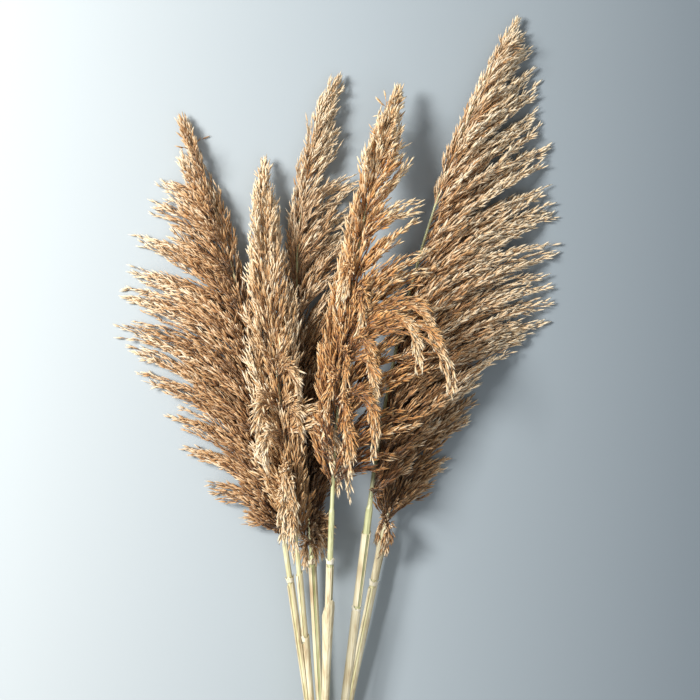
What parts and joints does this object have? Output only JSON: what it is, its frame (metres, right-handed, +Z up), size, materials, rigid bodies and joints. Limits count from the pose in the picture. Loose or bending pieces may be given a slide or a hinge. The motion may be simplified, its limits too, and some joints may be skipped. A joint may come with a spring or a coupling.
{
  "type": "bundle of pampas grass",
  "caption": "Loose bundle of dried pampas grass stalks with feathery one-sided plumes and straw stems, lying on a surface.",
  "frame": {"origin": "middle of the bundle's base, on the surface that it lies on", "axes": "+Y towards the plumes' tips, -Y towards the cut ends, +Z up from the surface"},
  "size_m": [0.3537, 0.7506, 0.0758],
  "materials": {
    "straw": "satin",
    "husk": "matte",
    "plume_tan": "matte",
    "plume_cream": "matte",
    "plume_brown": "matte",
    "plume_russet": "matte"
  },
  "bodies": {
    "root": {"plume_1_left_tuft_1": "plume_tan", "plume_1_left_tuft_2": "plume_tan", "plume_1_left_tuft_3": "plume_tan", "plume_1_left_tuft_4": "plume_tan", "plume_1_left_tuft_5": "plume_tan", "plume_1_left_tuft_6": "plume_tan", "plume_2_left_tuft_1": "plume_cream", "plume_2_left_tuft_2": "plume_cream", "plume_2_left_tuft_3": "plume_cream", "plume_2_right_tuft_1": "plume_cream", "plume_2_right_tuft_2": "plume_cream", "plume_2_right_tuft_3": "plume_cream", "plume_3_right_tuft_1": "plume_brown", "plume_3_right_tuft_2": "plume_brown", "plume_3_right_tuft_3": "plume_brown", "plume_3_right_tuft_4": "plume_brown", "plume_3_right_tuft_5": "plume_brown", "plume_3_right_tuft_6": "plume_brown", "plume_4_left_tuft_1": "plume_russet", "plume_4_left_tuft_2": "plume_russet", "plume_4_left_tuft_3": "plume_russet", "plume_4_right_tuft_1": "plume_russet", "plume_4_right_tuft_2": "plume_russet", "plume_4_right_tuft_3": "plume_russet", "plume_4_right_tuft_4": "plume_russet", "plume_4_right_tuft_5": "plume_russet", "plume_5_right_tuft_1": "plume_tan", "plume_5_right_tuft_2": "plume_tan", "plume_5_right_tuft_3": "plume_tan", "plume_5_right_tuft_4": "plume_tan", "plume_5_right_tuft_5": "plume_tan", "plume_5_right_tuft_6": "plume_tan", "plume_5_right_tuft_7": "plume_tan", "plume_5_right_tuft_8": "plume_tan", "plume_6_left_tuft_1": "plume_brown", "plume_6_left_tuft_2": "plume_brown", "plume_6_right_tuft_1": "plume_brown", "plume_6_right_tuft_2": "plume_brown", "plume_6_right_tuft_3": "plume_brown", "sheath_1_lower": "husk", "sheath_2_lower": "husk", "sheath_2_upper": "husk", "sheath_3_lower": "husk", "sheath_4_lower": "husk", "sheath_4_upper": "husk", "sheath_5_lower": "husk", "sheath_5_upper": "husk", "sheath_6_lower": "husk", "sheath_6_upper": "husk", "stem_1": "straw", "stem_2": "straw", "stem_3": "straw", "stem_4": "straw", "stem_5": "straw", "stem_6": "straw"}
  },
  "joints": []
}
